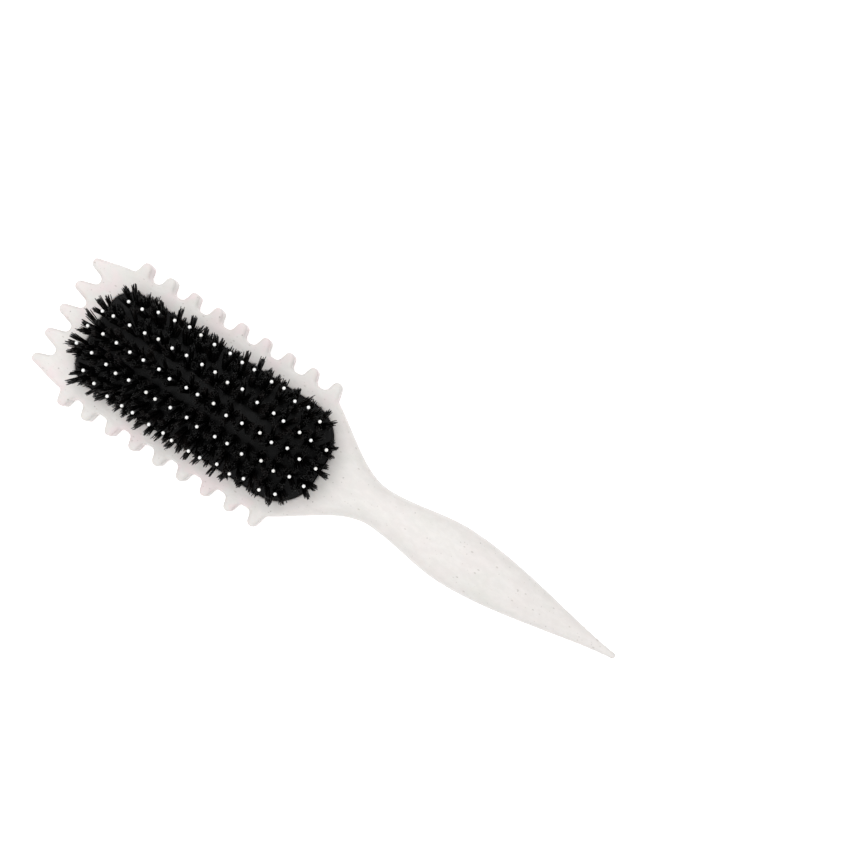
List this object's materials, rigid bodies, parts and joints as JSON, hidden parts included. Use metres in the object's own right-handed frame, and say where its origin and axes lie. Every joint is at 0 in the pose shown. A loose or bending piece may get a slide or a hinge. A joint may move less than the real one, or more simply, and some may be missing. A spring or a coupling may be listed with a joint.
{
  "type": "styling brush",
  "caption": "Flat hair styling brush with comb-like teeth round its head, a domed pad of bristle tufts with ball-tipped pins, and a leaf-shaped handle ending in a pointed tail.",
  "frame": {"origin": "centre of the foot of the whole brush as it lies on its back, level with the crests of the ribs", "axes": "+X from the pointed tail to the front teeth, +Z out of the bristle side, +Y to the left of somebody who looks along +X with the bristles up"},
  "size_m": [0.25, 0.064, 0.0311],
  "materials": {
    "filled_plastic": "warm off-white moulded plastic filled with fine straw fibre, satin, with small dark specks",
    "pad_plastic": "black moulded plastic, satin",
    "pin_nylon": "black nylon pins with white ball tips",
    "bristle": "black bristle, slightly glossy along each hair"
  },
  "bodies": {
    "root": {"body": "filled_plastic", "bristle_pad": "pad_plastic", "pin_strip_1": "pin_nylon", "tuft_row_1": "bristle", "pin_strip_2": "pin_nylon", "tuft_row_2": "bristle", "pin_strip_3": "pin_nylon", "tuft_row_3": "bristle", "pin_strip_4": "pin_nylon", "tuft_row_4": "bristle", "pin_strip_5": "pin_nylon", "tuft_row_5": "bristle"}
  },
  "joints": []
}
